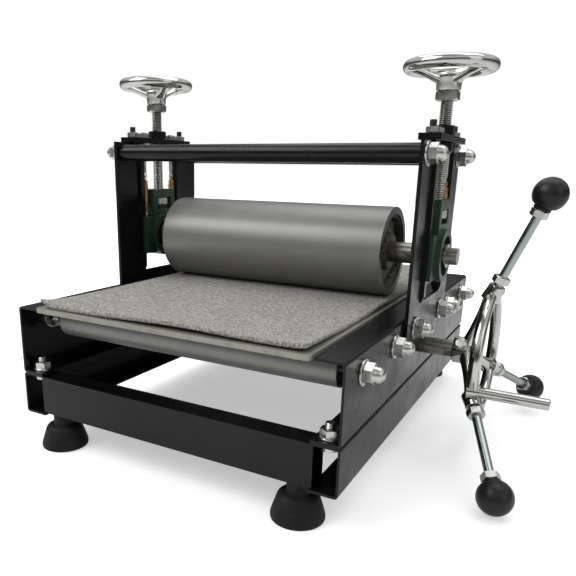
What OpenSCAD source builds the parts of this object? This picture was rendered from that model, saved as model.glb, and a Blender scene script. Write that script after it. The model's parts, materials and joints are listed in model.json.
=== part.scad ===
// Tabletop roller press for printing from plates and lino blocks.
// A flat bed carries the plate, the paper and a felt blanket under a steel roller. A star wheel turns
// the drive roller below the bed. Two screws with handwheels set the height of the top roller.
// X runs across the machine with the star wheel at +X, Y from front to back, Z up from the table.
// The modules draw the machine about the middle of its frame; the last block moves it to its origin.

/* [Frame] */
// Width over the outer faces of the side channels
frame_w = 400; // [360:5:500]
// Length of the side channels, front to back
frame_l = 540; // [480:10:700]
// Height of the lower channel pair
lower_h = 50; // [50:5:60]
// Height of the upper channel pair
upper_h = 80; // [76:2:90]
// Sheet thickness of the channels
sheet_t = 2.5; // [2:0.5:3]
// Width of the channel flanges
flange_w = 30; // [30:1:34]
// Outer radius of the channel bends
bend_r = 4; // [3:0.5:5]
// Depth of the two cross members
cross_d = 26; // [26:1:40]

/* [Feet] */
// Clear height under the channels
foot_h = 38; // [30:1:50]
// Diameter of a rubber foot at the table
foot_d = 54; // [44:1:60]
// Distance of the feet from the centre line
foot_x = 155; // [100:5:160]

/* [Uprights] */
// Width of an upright plate
post_w = 182; // [176:2:200]
// Thickness of an upright plate
post_t = 4; // [3:0.5:5]
// Height of the upright plates above the table
post_top = 357; // [350:1:380]
// Clear width between the two guide rails of an upright
window_w = 76; // [76:0.5:76.5]
// Height of the sill below the window
sill_z = 180; // [176:1:184]
// Thickness of the guide rails, across the machine
rail_t = 11.6; // [11.4:0.1:11.8]
// Width of the guide rails, along the machine
rail_w = 8; // [6:0.5:8]
// Diameter of the two tie bars
tie_d = 21.3; // [16:0.1:26]
// Thickness of the cap plates
cap_t = 7; // [6:0.5:10]

/* [Rollers] */
// Diameter of the top roller
top_d = 108; // [90:1:110]
// Length of the top roller
top_l = 310; // [280:5:320]
// Height of the top roller's axis at rest
top_z = 230; // [229.9:0.1:231]
// Height of the drive roller's axis
drive_z = 119.5; // [115:0.5:122]
// Diameter of the support rollers
support_d = 36.2; // [30:0.1:36.2]
// Height of the support rollers' axes
support_z = 147; // [146:0.5:147]
// Length of the support rollers
support_l = 346; // [320:2:350]

/* [Bed] */
// Width of the bed plate
bed_w = 337; // [330:1:338]
// Length of the bed plate
bed_l = 550; // [500:10:650]
// Thickness of the bed plate
bed_t = 5; // [3:0.5:5]
// Radius of the bed plate's corners
bed_corner_r = 6; // [1:0.5:12]
// Thickness of the felt blanket
felt_t = 5; // [3:0.5:5]
// Strip of bed plate left clear around the felt
felt_gap = 5.5; // [0:0.5:20]

/* [Wheels] */
// Radius of a handwheel to the middle of its rim
hand_r = 44; // [40:0.5:46]
// Height of the middle of the handwheel rims
hand_z = 436; // [430:1:440]
// Radius of the star wheel to the middle of its rim
star_r = 69.4; // [64:0.2:72]
// Distance of the star wheel's rim from the side channel
star_gap = 74.5; // [70:0.5:80]
// Lean of the star wheel's rods away from the machine, in degrees
rod_lean = 21.3; // [0:0.1:25]
// Turn of the star wheel at rest, in degrees
star_turn = -2.6; // [-30:0.1:30]

/* [Hidden] */
$fn = 64;
web_x = frame_w / 2;
web_in = web_x - sheet_t;
base_z = foot_h;
seam_z = base_z + lower_h;
deck_z = seam_z + upper_h;
cross_y = frame_l / 2 - 2 - cross_d / 2;
cross_h = lower_h - 2 * sheet_t;
cross_z = base_z + sheet_t;

m12_r = 6;
m12_af = 19;
hole_r = 6.4;
washer_r = 13;
washer_t = 2.5;
acorn_h = 9;
dome_r = 8.3;
nut_h = 10;
stud_end = 12;

// Rollers under the bed: the drive roller's top is level with the support rollers' tops.
roller_top = support_z + support_d / 2;
drive_r = roller_top - drive_z;
drive_l = 320;
shaft_r = 10;
support_shift = 8;
support_y = [-224, -124, 124, 224];
roller_names = ["front", "mid_front", "mid_rear", "rear"];
run_gap = 0.05;

bed_z = roller_top + 0.3;
felt_z = bed_z + bed_t + 0.2;

post_x = web_x + post_t / 2;
post_z = deck_z - 30;
post_bolt_y = 61;
post_bolt_z = deck_z - 14;
tie_y = 77;
tie_z = 343;

cap_w = 24;
cap_l = 130;
cap_z = post_top;
stud_y = 54;
eye_y = 31;
m8_r = 4;
m8_af = 13;
m8_h = 6.5;

// Take-up bearing blocks, measured from the bearing's centre.
block_body_r = 31;
block_body_t = 32;
block_wing_t = 21;
block_groove = 12;
block_wing_w = 89;
block_wing_lo = -25;
block_wing_hi = 26;
block_neck_w = 51;
block_top = 64.5;
block_slot_w = 32;
block_slot_lo = 37;
block_slot_hi = 53;
block_screw_r = 9.5;
bearing_r = 23.4;

spindle_r = 7;
m14_af = 22;
spindle_lo = top_z + block_slot_lo + 0.3;
cap_nut_h = 11;
hub_lo = 411;
hub_hi = 429;
hand_rim_r = 6.8;

// Return springs: coils between two hooks, hung from eye bolts in the cap plate.
wire_r = 0.9;
eye_r = 3.4;
hook_r = 2.6;
hook_drop = eye_r + hook_r - 2 * wire_r - 0.1;
eye_z = 315;
anchor_z = top_z + block_wing_hi + 6;
coil_hi = eye_z - hook_drop - hook_r;
coil_lo = anchor_z + hook_drop + hook_r;
coil_r = 4.4;
coils = 14;

rod_r = 5;
rod_af = 17;
ball_r = 18;
rod_from = 16;
rod_to = 114;
rim_r = 6.6;
crank_turn = 247;
hub_x = web_x + 39;
hub_l = 18.5;
star_x = web_x + star_gap;
crank_end = star_x + 77.5;

// The origin lies under the middle of the machine's whole width, handwheel and crank handle included.
origin_x = round((crank_end - post_x - hand_r - hand_rim_r) / 2);

black = [0.05, 0.05, 0.055];
steel = [0.62, 0.62, 0.61];
zinc = [0.72, 0.73, 0.70];
chrome = [0.80, 0.81, 0.82];

// A cylinder of radius r and length h that starts at the origin and runs along +X.
module rod_x(r, h) {
  rotate([0, 90, 0])
    cylinder(r = r, h = h);
}

// A hexagonal prism along +Z, its flats facing X, with a round hole.
module hex_z(af, h, bore_r) {
  difference() {
    rotate([0, 0, 30])
      cylinder(d = af / cos(30), h = h, $fn = 6);
    translate([0, 0, -1])
      cylinder(r = bore_r, h = h + 2);
  }
}

// The children once as drawn and once mirrored to the left side.
module both_sides() {
  for (s = [0, 1])
    mirror([s, 0, 0])
      children();
}

// The children at the front and at the back.
module front_and_back() {
  for (s = [0, 1])
    mirror([0, s, 0])
      children();
}

// One bend of a channel, a quarter tube along Y. Its centre line is at the origin.
module bend(turn) {
  rotate([90, turn, 0])
    rotate_extrude(angle = 90)
      translate([bend_r - sheet_t, -frame_l / 2])
        square([sheet_t, frame_l]);
}

// A channel of height h with its web at +X, standing on z = 0.
module channel(h) {
  translate([web_in, -frame_l / 2, bend_r])
    cube([sheet_t, frame_l, h - 2 * bend_r]);
  for (z = [0, h - sheet_t])
    translate([web_x - flange_w, -frame_l / 2, z])
      cube([flange_w - bend_r, frame_l, sheet_t]);
  translate([web_x - bend_r, 0, bend_r])
    bend(90);
  translate([web_x - bend_r, 0, h - bend_r])
    bend(0);
}

// Holes through both flanges for the bolts that clamp the two channels.
module flange_holes() {
  front_and_back()
    translate([web_x - 16, cross_y + 1, seam_z - 10])
      cylinder(r = 5.3, h = 20);
}

module upper_channel() {
  color(black)
    difference() {
      translate([0, 0, seam_z])
        channel(upper_h);
      for (y = support_y)
        translate([web_in - 1, y, support_z])
          rod_x(hole_r, sheet_t + 2);
      for (y = [-post_bolt_y, post_bolt_y])
        translate([web_in - 1, y, post_bolt_z])
          rod_x(hole_r, sheet_t + 2);
      translate([web_in - 1, 0, drive_z])
        rod_x(shaft_r + 1, sheet_t + 2);
      flange_holes();
    }
}

module upper_channel_right() {
  upper_channel();
}

module upper_channel_left() {
  mirror([1, 0, 0])
    upper_channel();
}

module lower_channel() {
  color(black)
    difference() {
      translate([0, 0, base_z])
        channel(lower_h);
      flange_holes();
    }
}

module lower_channel_right() {
  lower_channel();
}

module lower_channel_left() {
  mirror([1, 0, 0])
    lower_channel();
}

// A rectangular tube whose ends are held just inside the flange tips of the lower channels.
module cross_member() {
  half = web_x - flange_w + 3;
  color(black)
    difference() {
      translate([-half, -cross_d / 2, cross_z])
        cube([2 * half, cross_d, cross_h]);
      translate([-half - 1, -cross_d / 2 + sheet_t, cross_z + sheet_t])
        cube([2 * half + 2, cross_d - 2 * sheet_t, cross_h - 2 * sheet_t]);
      for (x = [-foot_x, foot_x])
        translate([x, 0, cross_z - 1])
          cylinder(r = 5.3, h = sheet_t + 2);
    }
}

module cross_member_rear() {
  translate([0, cross_y, 0])
    cross_member();
}

module cross_member_front() {
  mirror([0, 1, 0])
    cross_member_rear();
}

// Soft cones with a narrow neck under the cross members.
module rubber_feet() {
  r = foot_d / 2;
  color([0.07, 0.07, 0.07])
    both_sides()
      front_and_back()
        translate([foot_x, cross_y, 0])
          rotate_extrude()
            polygon([[0, 0], [r - 2, 0], [r, 2], [r, 5], [r - 5.5, 22], [r - 9, 26],
                     [r - 15, 27.5], [r - 15, cross_z], [5.1, cross_z], [5.1, 14], [0, 14]]);
}

module foot_studs() {
  color(zinc)
    both_sides()
      front_and_back()
        translate([foot_x, cross_y, 0]) {
          translate([0, 0, 14.2])
            cylinder(r = 5, h = cross_z - 14.2 + 14);
          translate([0, 0, cross_z + sheet_t])
            hex_z(rod_af, 8, 5);
        }
}

module flange_bolts() {
  color(zinc)
    both_sides()
      front_and_back()
        translate([web_x - 16, cross_y + 1, cross_z + cross_h]) {
          translate([0, 0, -6.4])
            rotate([0, 0, 90])
              hex_z(rod_af, 6.4, 0.5);
          translate([0, 0, -3])
            cylinder(r = 5, h = 23.5);
        }
}

module flange_nuts() {
  color(zinc)
    both_sides()
      front_and_back()
        translate([web_x - 16, cross_y + 1, seam_z + sheet_t])
          difference() {
            union() {
              cylinder(r = 10, h = 2);
              translate([0, 0, 2])
                hex_z(rod_af, 8, 5.05);
            }
            translate([0, 0, -1])
              cylinder(r = 5.05, h = 4);
          }
}

// A plate with an open-topped window for the guide rails and notches for the cap lugs.
module upright() {
  edge = window_w / 2 + rail_w;
  color(black)
    difference() {
      translate([web_x, -post_w / 2, post_z])
        cube([post_t, post_w, post_top - post_z]);
      translate([web_x - 1, -edge, sill_z])
        cube([post_t + 2, 2 * edge, post_top]);
      for (y = [-stud_y, stud_y])
        translate([web_x - 1, y - 7, post_top - 20])
          cube([post_t + 2, 14, 21]);
      for (y = [-post_bolt_y, post_bolt_y])
        translate([web_x - 1, y, post_bolt_z])
          rod_x(hole_r, post_t + 2);
      for (y = [-tie_y, tie_y])
        translate([web_x - 1, y, tie_z])
          rod_x(hole_r, post_t + 2);
    }
}

module upright_right() {
  upright();
}

module upright_left() {
  mirror([1, 0, 0])
    upright();
}

// Bars that line the window and stand proud of the plate on both faces, with tapered lower ends.
module guide_rails() {
  color(black)
    front_and_back()
      translate([post_x, window_w / 2, 0])
        rotate([90, 0, 0])
          translate([0, 0, -rail_w])
            linear_extrude(height = rail_w)
              polygon([[-rail_t / 2, post_top], [-rail_t / 2, sill_z + 7], [-rail_t / 4, sill_z],
                       [rail_t / 4, sill_z], [rail_t / 2, sill_z + 7], [rail_t / 2, post_top]]);
}

module guide_rails_right() {
  guide_rails();
}

module guide_rails_left() {
  mirror([1, 0, 0])
    guide_rails();
}

module upright_bolts() {
  head = 7.5;
  color(zinc)
    both_sides()
      for (y = [-post_bolt_y, post_bolt_y])
        translate([web_in - head, y, post_bolt_z])
          rotate([0, 90, 0]) {
            rotate([0, 0, 30])
              cylinder(d = m12_af / cos(30), h = head, $fn = 6);
            cylinder(r = m12_r, h = head + sheet_t + post_t + washer_t + stud_end);
          }
}

module cap_plates() {
  color(black)
    both_sides()
      difference() {
        translate([post_x - cap_w / 2, -cap_l / 2, cap_z])
          cube([cap_w, cap_l, cap_t]);
        for (y = [-stud_y, -eye_y, eye_y, stud_y])
          translate([post_x, y, cap_z - 1])
            cylinder(r = m8_r + 0.2, h = cap_t + 2);
        translate([post_x, 0, cap_z - 1])
          cylinder(r = spindle_r + 0.5, h = cap_t + 2);
      }
}

// Tapped blocks in the notches of the upright plates, which take the cap studs.
module cap_lugs() {
  color(black)
    both_sides()
      for (y = [-stud_y, stud_y])
        difference() {
          translate([post_x - 6, y - 7, post_top - 20])
            cube([12, 14, 20]);
          translate([post_x, y, post_top - 21])
            cylinder(r = m8_r + run_gap, h = 22);
        }
}

module cap_studs() {
  color(black)
    both_sides()
      for (y = [-stud_y, stud_y])
        translate([post_x, y, post_top - 18])
          cylinder(r = m8_r, h = 18 + cap_t + m8_h + 7);
}

// Nuts on the cap studs and on the spring eye bolts.
module cap_stud_nuts() {
  color(zinc)
    both_sides()
      for (y = [-stud_y, -eye_y, eye_y, stud_y])
        translate([post_x, y, cap_z + cap_t])
          hex_z(m8_af, m8_h, m8_r + run_gap);
}

// Threaded nuts welded above and below the cap plate, in which the spindles run.
module spindle_nuts() {
  color(black)
    both_sides()
      for (z = [cap_z - cap_nut_h, cap_z + cap_t])
        translate([post_x, 0, z])
          hex_z(m14_af, cap_nut_h, spindle_r + run_gap);
}

// A round bar between the uprights with a threaded stud at each end.
module tie_bar() {
  reach = web_x + post_t + washer_t + stud_end;
  color(black) {
    translate([-web_x, tie_y, tie_z])
      rod_x(tie_d / 2, 2 * web_x);
    translate([-reach, tie_y, tie_z])
      rod_x(m12_r, 2 * reach);
  }
}

module tie_bar_rear() {
  tie_bar();
}

module tie_bar_front() {
  mirror([0, 1, 0])
    tie_bar();
}

// The children at every bolted joint on the outside of the right upright and channel.
module outer_joints() {
  for (y = support_y)
    translate([web_x, y, support_z])
      children();
  for (y = [-post_bolt_y, post_bolt_y])
    translate([web_x + post_t, y, post_bolt_z])
      children();
  for (y = [-tie_y, tie_y])
    translate([web_x + post_t, y, tie_z])
      children();
}

module washer_x() {
  difference() {
    rod_x(washer_r, washer_t);
    translate([-1, 0, 0])
      rod_x(hole_r, washer_t + 2);
  }
}

module washers() {
  color(zinc)
    both_sides()
      outer_joints()
        washer_x();
}

// A hexagon nut closed by a round dome, on its side.
module acorn_nut() {
  difference() {
    rotate([0, 90, 0])
      union() {
        cylinder(d = m12_af / cos(30), h = acorn_h, $fn = 6);
        translate([0, 0, acorn_h])
          cylinder(r = dome_r, h = 2);
        translate([0, 0, acorn_h + 2])
          sphere(r = dome_r);
      }
    translate([-1, 0, 0])
      rod_x(m12_r + run_gap, stud_end + 1.5);
  }
}

module acorn_nuts() {
  color(zinc)
    both_sides()
      outer_joints()
        translate([washer_t, 0, 0])
          acorn_nut();
}

module roller_axles() {
  reach = web_x + washer_t + stud_end;
  color(zinc)
    for (y = support_y)
      translate([-reach, y, support_z])
        rod_x(m12_r, 2 * reach);
}

// Washers and nuts inside the channels that clamp the axles to the webs.
module axle_washers() {
  color(zinc)
    both_sides()
      for (y = support_y)
        translate([web_in - washer_t, y, support_z])
          washer_x();
}

module axle_nuts() {
  color(zinc)
    both_sides()
      for (y = support_y)
        translate([web_in - washer_t - nut_h, y, support_z])
          rotate([0, 90, 0])
            hex_z(m12_af, nut_h, m12_r + run_gap);
}

// Round flanged bearings on the inside of the upper channels, below the window.
module drive_bearings() {
  depth = 16;
  color([0.16, 0.17, 0.17])
    both_sides()
      translate([web_in - depth, 0, drive_z])
        difference() {
          union() {
            rod_x(19, depth);
            translate([depth - 6, 0, 0])
              rod_x(28, 6);
          }
          translate([-1, 0, 0])
            rod_x(shaft_r + run_gap, depth + 2);
          for (a = [45:90:315])
            rotate([a, 0, 0])
              translate([depth - 7, 23.5, 0])
                rod_x(2.6, 8);
        }
}

// A tube with a bored disc set into each end, turning on its fixed axle.
module support_roller(i) {
  r = support_d / 2;
  wall = 3;
  color(steel)
    translate([support_shift - support_l / 2, support_y[i], support_z])
      difference() {
        rod_x(r, support_l);
        translate([-1, 0, 0])
          rod_x(m12_r + run_gap, support_l + 2);
        translate([-1, 0, 0])
          rod_x(r - wall, 3);
        translate([support_l - 2, 0, 0])
          rod_x(r - wall, 3);
        translate([12, 0, 0])
          rod_x(r - wall, support_l - 24);
      }
}

module support_roller_front() {
  support_roller(0);
}

module support_roller_mid_front() {
  support_roller(1);
}

module support_roller_mid_rear() {
  support_roller(2);
}

module support_roller_rear() {
  support_roller(3);
}

module drive_roller() {
  color(steel)
    translate([-drive_l / 2, 0, drive_z])
      difference() {
        rod_x(drive_r, drive_l);
        translate([-1, 0, 0])
          rod_x(shaft_r + run_gap, drive_l + 2);
        translate([-1, 0, 0])
          rod_x(drive_r - 7, 7);
        translate([drive_l - 6, 0, 0])
          rod_x(drive_r - 7, 7);
        translate([18, 0, 0])
          rod_x(drive_r - 7, drive_l - 36);
      }
}

module drive_shaft() {
  color(steel)
    translate([-web_x - 8, 0, drive_z])
      rod_x(shaft_r, web_x + 8 + hub_x + hub_l);
}

// A flat plate with rounded corners.
module bed_plate() {
  w = bed_w - 2 * bed_corner_r;
  l = bed_l - 2 * bed_corner_r;
  color([0.62, 0.62, 0.56])
    translate([0, 0, bed_z]) {
      translate([-bed_w / 2, -l / 2, 0])
        cube([bed_w, l, bed_t]);
      translate([-w / 2, -bed_l / 2, 0])
        cube([w, bed_l, bed_t]);
      for (x = [-w / 2, w / 2], y = [-l / 2, l / 2])
        translate([x, y, 0])
          cylinder(r = bed_corner_r, h = bed_t);
    }
}

module felt_blanket() {
  w = bed_w - 2 * felt_gap;
  l = bed_l - 2 * felt_gap;
  color([0.66, 0.65, 0.62])
    translate([-w / 2, -l / 2, felt_z])
      cube([w, l, felt_t]);
}

module top_roller_shell() {
  color(steel)
    translate([-top_l / 2, 0, top_z])
      difference() {
        rod_x(top_d / 2, top_l);
        translate([-1, 0, 0])
          rod_x(top_d / 2 - 8, top_l + 2);
      }
}

// Dished end plates with a raised boss around the shaft.
module top_roller_ends() {
  r = top_d / 2 - 8;
  color([0.13, 0.14, 0.14])
    both_sides()
      translate([top_l / 2, 0, top_z])
        rotate([0, 90, 0])
          rotate_extrude()
            polygon([[12.5, -18], [r, -18], [r, -2], [r - 4, -2], [r - 6, -8], [24, -8],
                     [21, -2], [12.5, -2]]);
}

module top_roller_shaft() {
  color(steel)
    translate([0, 0, top_z]) {
      translate([1.5 - top_l / 2 - 35, 0, 0])
        rod_x(12.5, top_l + 67);
      translate([-232, 0, 0])
        rod_x(shaft_r - 0.1, 464);
    }
}

module bearing_inner_rings() {
  color(chrome)
    both_sides()
      translate([post_x - 12.7, 0, top_z])
        difference() {
          rod_x(14, 31);
          translate([-1, 0, 0])
            rod_x(shaft_r - 0.1, 33);
          for (a = [0, 120])
            rotate([a - 150, 0, 0])
              translate([26.5, 0, 0])
                cylinder(r = 2.5, h = 20);
        }
}

module collar_screws() {
  color([0.10, 0.10, 0.10])
    both_sides()
      translate([post_x - 12.7 + 26.5, 0, top_z])
        for (a = [0, 120])
          rotate([a - 150, 0, 0])
            translate([0, 0, shaft_r + 0.1])
              difference() {
                cylinder(r = 2.45, h = 3.6);
                translate([0, 0, 1.6])
                  cylinder(r = 1.4, h = 3, $fn = 6);
              }
}

// A take-up block: a round body with grooved wings that ride on the guide rails, and a neck with a
// slot for the nut on the spindle's end.
module bearing_block() {
  color([0.12, 0.20, 0.15])
    translate([post_x, 0, top_z])
      difference() {
        union() {
          translate([-block_body_t / 2, 0, 0])
            rod_x(block_body_r, block_body_t);
          translate([-block_wing_t / 2, -block_wing_w / 2, block_wing_lo])
            cube([block_wing_t, block_wing_w, block_wing_hi - block_wing_lo]);
          translate([-block_wing_t / 2, -block_neck_w / 2, 0])
            cube([block_wing_t, block_neck_w, block_top]);
        }
        front_and_back()
          translate([-block_groove / 2, window_w / 2 - 0.3, block_wing_lo - 1])
            cube([block_groove, 10, block_wing_hi - block_wing_lo + 2]);
        translate([-block_wing_t, -block_slot_w / 2, block_slot_lo])
          cube([2 * block_wing_t, block_slot_w, block_slot_hi - block_slot_lo]);
        translate([0, 0, block_slot_hi - 1])
          cylinder(r = block_screw_r, h = block_top);
        translate([-block_body_t, 0, 0])
          rod_x(bearing_r + 0.02, 2 * block_body_t);
        front_and_back()
          translate([0, eye_y, block_wing_hi - 8])
            cylinder(r = 2.05, h = 10);
      }
}

module bearing_block_right() {
  bearing_block();
}

module bearing_block_left() {
  mirror([1, 0, 0])
    bearing_block();
}

module bearing_outer_rings() {
  color(chrome)
    both_sides()
      translate([post_x - 8.5, 0, top_z])
        difference() {
          rod_x(bearing_r, 17);
          translate([-1, 0, 0])
            rod_x(19.5, 19);
        }
}

module bearing_seals() {
  color([0.06, 0.06, 0.06])
    both_sides()
      for (x = [-7.5, 6])
        translate([post_x + x, 0, top_z])
          difference() {
            rod_x(19.45, 1.5);
            translate([-1, 0, 0])
              rod_x(14.1, 4);
          }
}

// A wire ring of radius r around the X axis.
module wire_ring(r) {
  rotate([0, 90, 0])
    rotate_extrude()
      translate([r, 0])
        circle(r = wire_r);
}

// Screw eyes on the wings of the bearing blocks.
module spring_anchors() {
  color(zinc)
    both_sides()
      front_and_back()
        translate([post_x, eye_y, 0]) {
          translate([0, 0, anchor_z])
            wire_ring(eye_r);
          translate([0, 0, top_z + block_wing_hi - 6])
            cylinder(r = 2, h = anchor_z - eye_r - top_z - block_wing_hi + 6);
        }
}

// Closely wound coils, drawn as one ribbed tube with closed ends, and a hook at each end.
module return_springs() {
  pitch = (coil_hi - coil_lo) / coils;
  inner = coil_r - 1.8;
  outer = [for (i = [0:coils - 1], p = [[0, -1], [0.3, 0], [0.7, 0]])
             [coil_r + p[1] * 0.7, coil_lo + (i + p[0]) * pitch]];
  color([0.48, 0.36, 0.22])
    both_sides()
      front_and_back()
        translate([post_x, eye_y, 0]) {
          rotate_extrude()
            polygon(concat(outer, [[coil_r - 0.7, coil_hi], [0, coil_hi], [0, coil_hi - 1.5],
                                   [inner, coil_hi - 1.5], [inner, coil_lo + 1.5],
                                   [0, coil_lo + 1.5], [0, coil_lo]]));
          for (z = [coil_lo - hook_r, coil_hi + hook_r])
            translate([0, 0, z])
              rotate([0, 0, 90])
                wire_ring(hook_r);
        }
}

// Eye bolts through the cap plates: a threaded head end, a thinner shank and the eye.
module spring_eye_bolts() {
  color(zinc)
    both_sides()
      front_and_back()
        translate([post_x, eye_y, 0]) {
          translate([0, 0, eye_z])
            wire_ring(eye_r);
          translate([0, 0, eye_z + eye_r])
            cylinder(r = 2.6, h = cap_z - 6 - eye_z - eye_r);
          translate([0, 0, cap_z - 6])
            cylinder(r = m8_r, h = 6 + cap_t + m8_h + 1);
        }
}

// A screw with the nut on its lower end that lies in the slot of the bearing block.
module spindle() {
  color(zinc)
    translate([post_x, 0, 0]) {
      translate([0, 0, spindle_lo])
        cylinder(r = spindle_r, h = hub_hi + 2 - spindle_lo);
      translate([0, 0, top_z + block_slot_hi - 10.3])
        rotate([0, 0, 30])
          cylinder(d = m14_af / cos(30), h = 10, $fn = 6);
    }
}

module spindle_right() {
  spindle();
}

module spindle_left() {
  mirror([1, 0, 0])
    spindle();
}

// A dished wheel: round rim, three sloping spokes and a hub below the rim's plane.
module handwheel() {
  color(chrome)
    translate([post_x, 0, 0])
      difference() {
        union() {
          translate([0, 0, hand_z])
            rotate_extrude()
              translate([hand_r, 0])
                circle(r = hand_rim_r);
          translate([0, 0, hub_lo])
            cylinder(r1 = 13, r2 = 14.5, h = hub_hi - hub_lo);
          for (a = [90, 210, 330])
            rotate([0, 0, a])
              translate([11, 0, 421])
                rotate([0, 68, 0])
                  cylinder(r1 = 6, r2 = 4.2, h = 33);
        }
        translate([0, 0, hub_lo - 1])
          cylinder(r = spindle_r + run_gap, h = hub_hi - hub_lo + 30);
      }
}

module handwheel_right() {
  handwheel();
}

module handwheel_left() {
  mirror([1, 0, 0])
    handwheel();
}

module jam_nut() {
  color(zinc)
    translate([post_x, 0, hub_lo - nut_h - 0.2])
      hex_z(m14_af + 2, nut_h, spindle_r + run_gap);
}

module jam_nut_right() {
  jam_nut();
}

module jam_nut_left() {
  mirror([1, 0, 0])
    jam_nut();
}

// The children on each rod's line: z runs outward along the rod from the middle of the rim.
module on_each_rod() {
  for (a = [0, 120, 240])
    translate([0, 0, drive_z])
      rotate([-star_turn - a, 0, 0])
        translate([star_x, 0, star_r])
          rotate([0, rod_lean, 0])
            children();
}

// A dished wheel on the drive shaft with a boss for each rod and one for the crank handle.
module star_wheel() {
  color(chrome)
    difference() {
      union() {
        translate([star_x, 0, drive_z])
          rotate([0, 90, 0])
            rotate_extrude()
              translate([star_r, 0])
                circle(r = rim_r);
        translate([hub_x, 0, drive_z])
          rod_x(16, hub_l);
        for (a = [0, 120, 240])
          translate([hub_x + 15, 0, drive_z])
            rotate([-star_turn - a, 0, 0])
              rotate([0, 16.2, 0])
                translate([0, 0, 10])
                  cylinder(r1 = 7.5, r2 = 6, h = 62);
        on_each_rod()
          translate([0, 0, -4])
            cylinder(r = 9.5, h = rod_from + 2);
        translate([0, 0, drive_z])
          rotate([-crank_turn, 0, 0])
            translate([star_x - 2, 0, star_r])
              rod_x(8.2, 9.5);
      }
      translate([hub_x - 1, 0, drive_z])
        rod_x(shaft_r + run_gap, hub_l + 40);
      on_each_rod()
        cylinder(r = rod_r + run_gap, h = 40);
      translate([hub_x + hub_l / 2, 0, drive_z])
        rotate([53, 0, 0])
          cylinder(r = m8_r + run_gap, h = 40);
    }
}

// A bolt that clamps the star wheel's hub to the drive shaft.
module hub_bolt() {
  color(zinc)
    translate([hub_x + hub_l / 2, 0, drive_z])
      rotate([53, 0, 0]) {
        translate([0, 0, shaft_r + 0.3])
          cylinder(r = m8_r, h = 8);
        translate([0, 0, 16.4])
          cylinder(d = m8_af / cos(30), h = 5.3, $fn = 6);
        translate([0, 0, 21.7])
          cylinder(r = 6.2, h = 0.9);
      }
}

module lever_rods() {
  color(zinc)
    on_each_rod()
      translate([0, 0, 4])
        cylinder(r = rod_r, h = rod_to - 4);
}

// A nut against each rim boss and one against each knob.
module lever_nuts() {
  color(zinc)
    on_each_rod()
      for (z = [rod_from + 1, rod_to - 16.4])
        translate([0, 0, z])
          hex_z(rod_af, 8.4, rod_r + run_gap);
}

module lever_knobs() {
  centre = rod_to + 9.5;
  color([0.04, 0.04, 0.045])
    on_each_rod()
      difference() {
        union() {
          translate([0, 0, centre])
            sphere(r = ball_r);
          translate([0, 0, rod_to - 7.8])
            cylinder(r1 = 9, r2 = 10.5, h = 8);
        }
        translate([0, 0, rod_to - 9])
          cylinder(r = rod_r + run_gap, h = 9.4);
      }
}

// A plain round bar that stands out of the rim, for cranking the wheel.
module crank_handle() {
  start = star_x + 7.6;
  color(chrome)
    translate([0, 0, drive_z])
      rotate([-crank_turn, 0, 0])
        translate([start, 0, star_r]) {
          rod_x(6.25, crank_end - start - 1);
          translate([crank_end - start - 1, 0, 0])
            rotate([0, 90, 0])
              cylinder(r1 = 6.25, r2 = 5.25, h = 1);
        }
}

translate([-origin_x, 0, 0]) {
  upper_channel_left();
  upper_channel_right();
  lower_channel_left();
  lower_channel_right();
  cross_member_front();
  cross_member_rear();
  rubber_feet();
  foot_studs();
  flange_bolts();
  flange_nuts();
  upright_left();
  upright_right();
  guide_rails_left();
  guide_rails_right();
  upright_bolts();
  cap_plates();
  cap_lugs();
  cap_studs();
  cap_stud_nuts();
  spindle_nuts();
  tie_bar_front();
  tie_bar_rear();
  washers();
  acorn_nuts();
  roller_axles();
  axle_washers();
  axle_nuts();
  drive_bearings();
  support_roller_front();
  support_roller_mid_front();
  support_roller_mid_rear();
  support_roller_rear();
  drive_roller();
  drive_shaft();
  bed_plate();
  felt_blanket();
  top_roller_shell();
  top_roller_ends();
  top_roller_shaft();
  bearing_inner_rings();
  collar_screws();
  bearing_block_left();
  bearing_block_right();
  bearing_outer_rings();
  bearing_seals();
  spring_anchors();
  return_springs();
  spring_eye_bolts();
  spindle_left();
  spindle_right();
  handwheel_left();
  handwheel_right();
  jam_nut_left();
  jam_nut_right();
  star_wheel();
  hub_bolt();
  lever_rods();
  lever_nuts();
  lever_knobs();
  crank_handle();
}
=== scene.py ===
"""Tabletop roller printing press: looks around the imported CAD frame. Units are metres."""

import json
import math

import bmesh
import bpy
import numpy as np
from mathutils import Matrix, Vector, noise


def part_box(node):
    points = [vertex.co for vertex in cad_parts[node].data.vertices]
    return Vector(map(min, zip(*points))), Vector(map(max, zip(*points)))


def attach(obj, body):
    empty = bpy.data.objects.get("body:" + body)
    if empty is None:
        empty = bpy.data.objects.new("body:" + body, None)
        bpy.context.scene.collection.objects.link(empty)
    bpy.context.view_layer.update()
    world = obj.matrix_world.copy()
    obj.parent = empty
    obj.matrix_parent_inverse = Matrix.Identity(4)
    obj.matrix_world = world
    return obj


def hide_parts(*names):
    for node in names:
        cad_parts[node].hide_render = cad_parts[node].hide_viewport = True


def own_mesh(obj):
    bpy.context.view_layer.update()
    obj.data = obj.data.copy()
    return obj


MM = 0.001
THREAD_PITCH = {"m14": 2.0 * MM, "m10": 1.5 * MM, "m8": 1.25 * MM}
ACROSS_FLATS = {"m14": 22 * MM, "m12": 19 * MM, "m10": 17 * MM, "m8": 13 * MM}

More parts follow.
